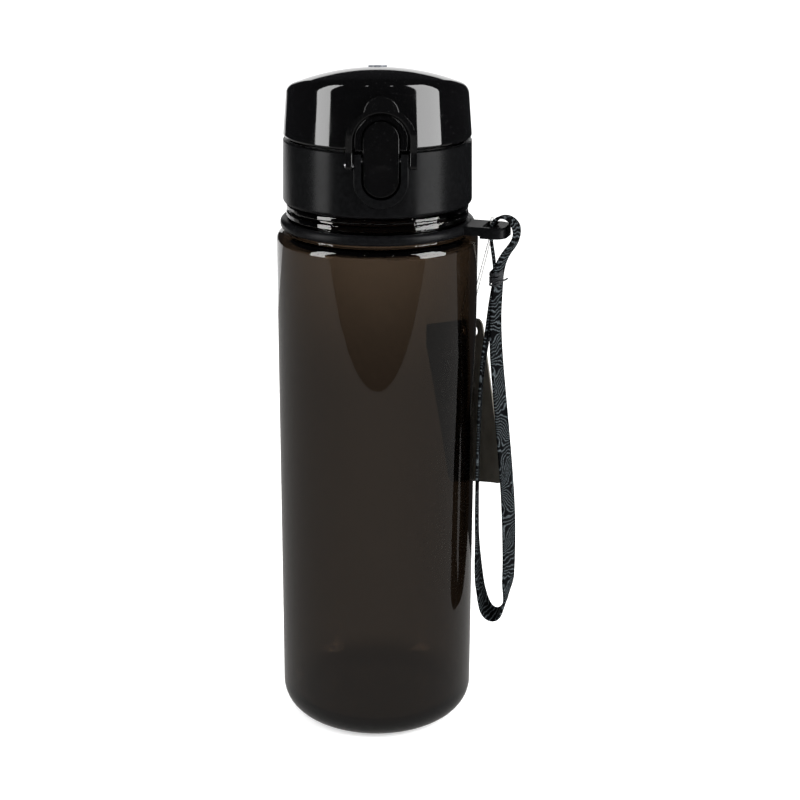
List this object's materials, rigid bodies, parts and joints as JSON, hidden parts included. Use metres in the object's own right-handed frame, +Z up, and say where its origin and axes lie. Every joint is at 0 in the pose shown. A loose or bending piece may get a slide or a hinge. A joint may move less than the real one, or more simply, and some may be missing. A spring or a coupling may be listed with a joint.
{
  "type": "drinking bottle",
  "caption": "Smoked plastic drinking bottle with a screw cap, flip-top lid, push-button latch, lock bail, spout and a woven wrist strap on a turning ring.",
  "frame": {"origin": "centre of the flat base, on the surface that the bottle stands on", "axes": "+Z up along the bottle's axis; the button and lock bail face -Y, the lid's hinge is at +Y, the strap hangs at +X"},
  "size_m": [0.0792, 0.0682, 0.2252],
  "materials": {
    "smoked_plastic": "smoked, clear, high gloss",
    "ring_plastic": "satin black",
    "strap_tape": "woven tape with a pale wavy pattern",
    "strap_thread": "thread",
    "tag_card": "plain uncoated card",
    "tag_nylon": "translucent nylon",
    "collar_plastic": "satin black",
    "insert_plastic": "satin black",
    "seal_silicone": "matt silicone",
    "spout_plastic": "gloss black",
    "lid_plastic": "high gloss black",
    "badge_plastic": "gloss black",
    "pin_steel": "bright steel",
    "button_plastic": "semi-gloss black",
    "bail_plastic": "semi-gloss black"
  },
  "bodies": {
    "bottle": {"bottle_body": "smoked_plastic"},
    "ring": {"strap_ring": "ring_plastic", "wrist_strap": "strap_tape", "strap_stitching": "strap_thread", "swing_tag": "tag_card", "tag_loop": "tag_nylon"},
    "gasket": {"neck_gasket": "seal_silicone"},
    "cap": {"cap_collar": "collar_plastic", "cap_insert": "insert_plastic", "drinking_spout": "spout_plastic", "vent_valve": "seal_silicone", "hinge_pin": "pin_steel", "lid_spring": "pin_steel", "button_pin": "pin_steel", "button_spring": "pin_steel", "bail_pins": "pin_steel"},
    "lid": {"lid_shell": "lid_plastic", "lid_badge": "badge_plastic", "lid_liner": "insert_plastic", "lid_seal": "seal_silicone"},
    "button": {"push_button": "button_plastic"},
    "bail": {"lock_bail": "bail_plastic"}
  },
  "joints": [
    {"name": "ring_swivel", "type": "hinge", "parent": "bottle", "child": "ring", "pos_m": [0, 0, 0.174], "axis": [0, 0, 1], "continuous": true},
    {"name": "cap_lift", "type": "slide", "parent": "bottle", "child": "gasket", "axis": [0, 0, 1], "range_m": [0, 0.0161]},
    {"name": "cap_turn", "type": "hinge", "parent": "gasket", "child": "cap", "pos_m": [0, 0, 0.19], "axis": [0, 0, 1], "range_deg": [0, 1152]},
    {"name": "lid_hinge", "type": "hinge", "parent": "cap", "child": "lid", "pos_m": [0, 0.0322, 0.2], "axis": [-1, 0, 0], "range_deg": [0, 130], "deforming": ["lid_spring"]},
    {"name": "button_press", "type": "hinge", "parent": "cap", "child": "button", "pos_m": [0, -0.0288, 0.1994], "axis": [1, 0, 0], "range_deg": [0, 6.5], "stiffness_Nm_per_rad": 0.05, "deforming": ["button_spring"]},
    {"name": "bail_swing", "type": "hinge", "parent": "cap", "child": "bail", "pos_m": [0, -0.0307, 0.1982], "axis": [1, 0, 0], "range_deg": [0, 125]}
  ],
  "couplings": [
    {"joint": "cap_lift", "follows": "cap_turn", "m_per_rad": 0.00079577}
  ]
}
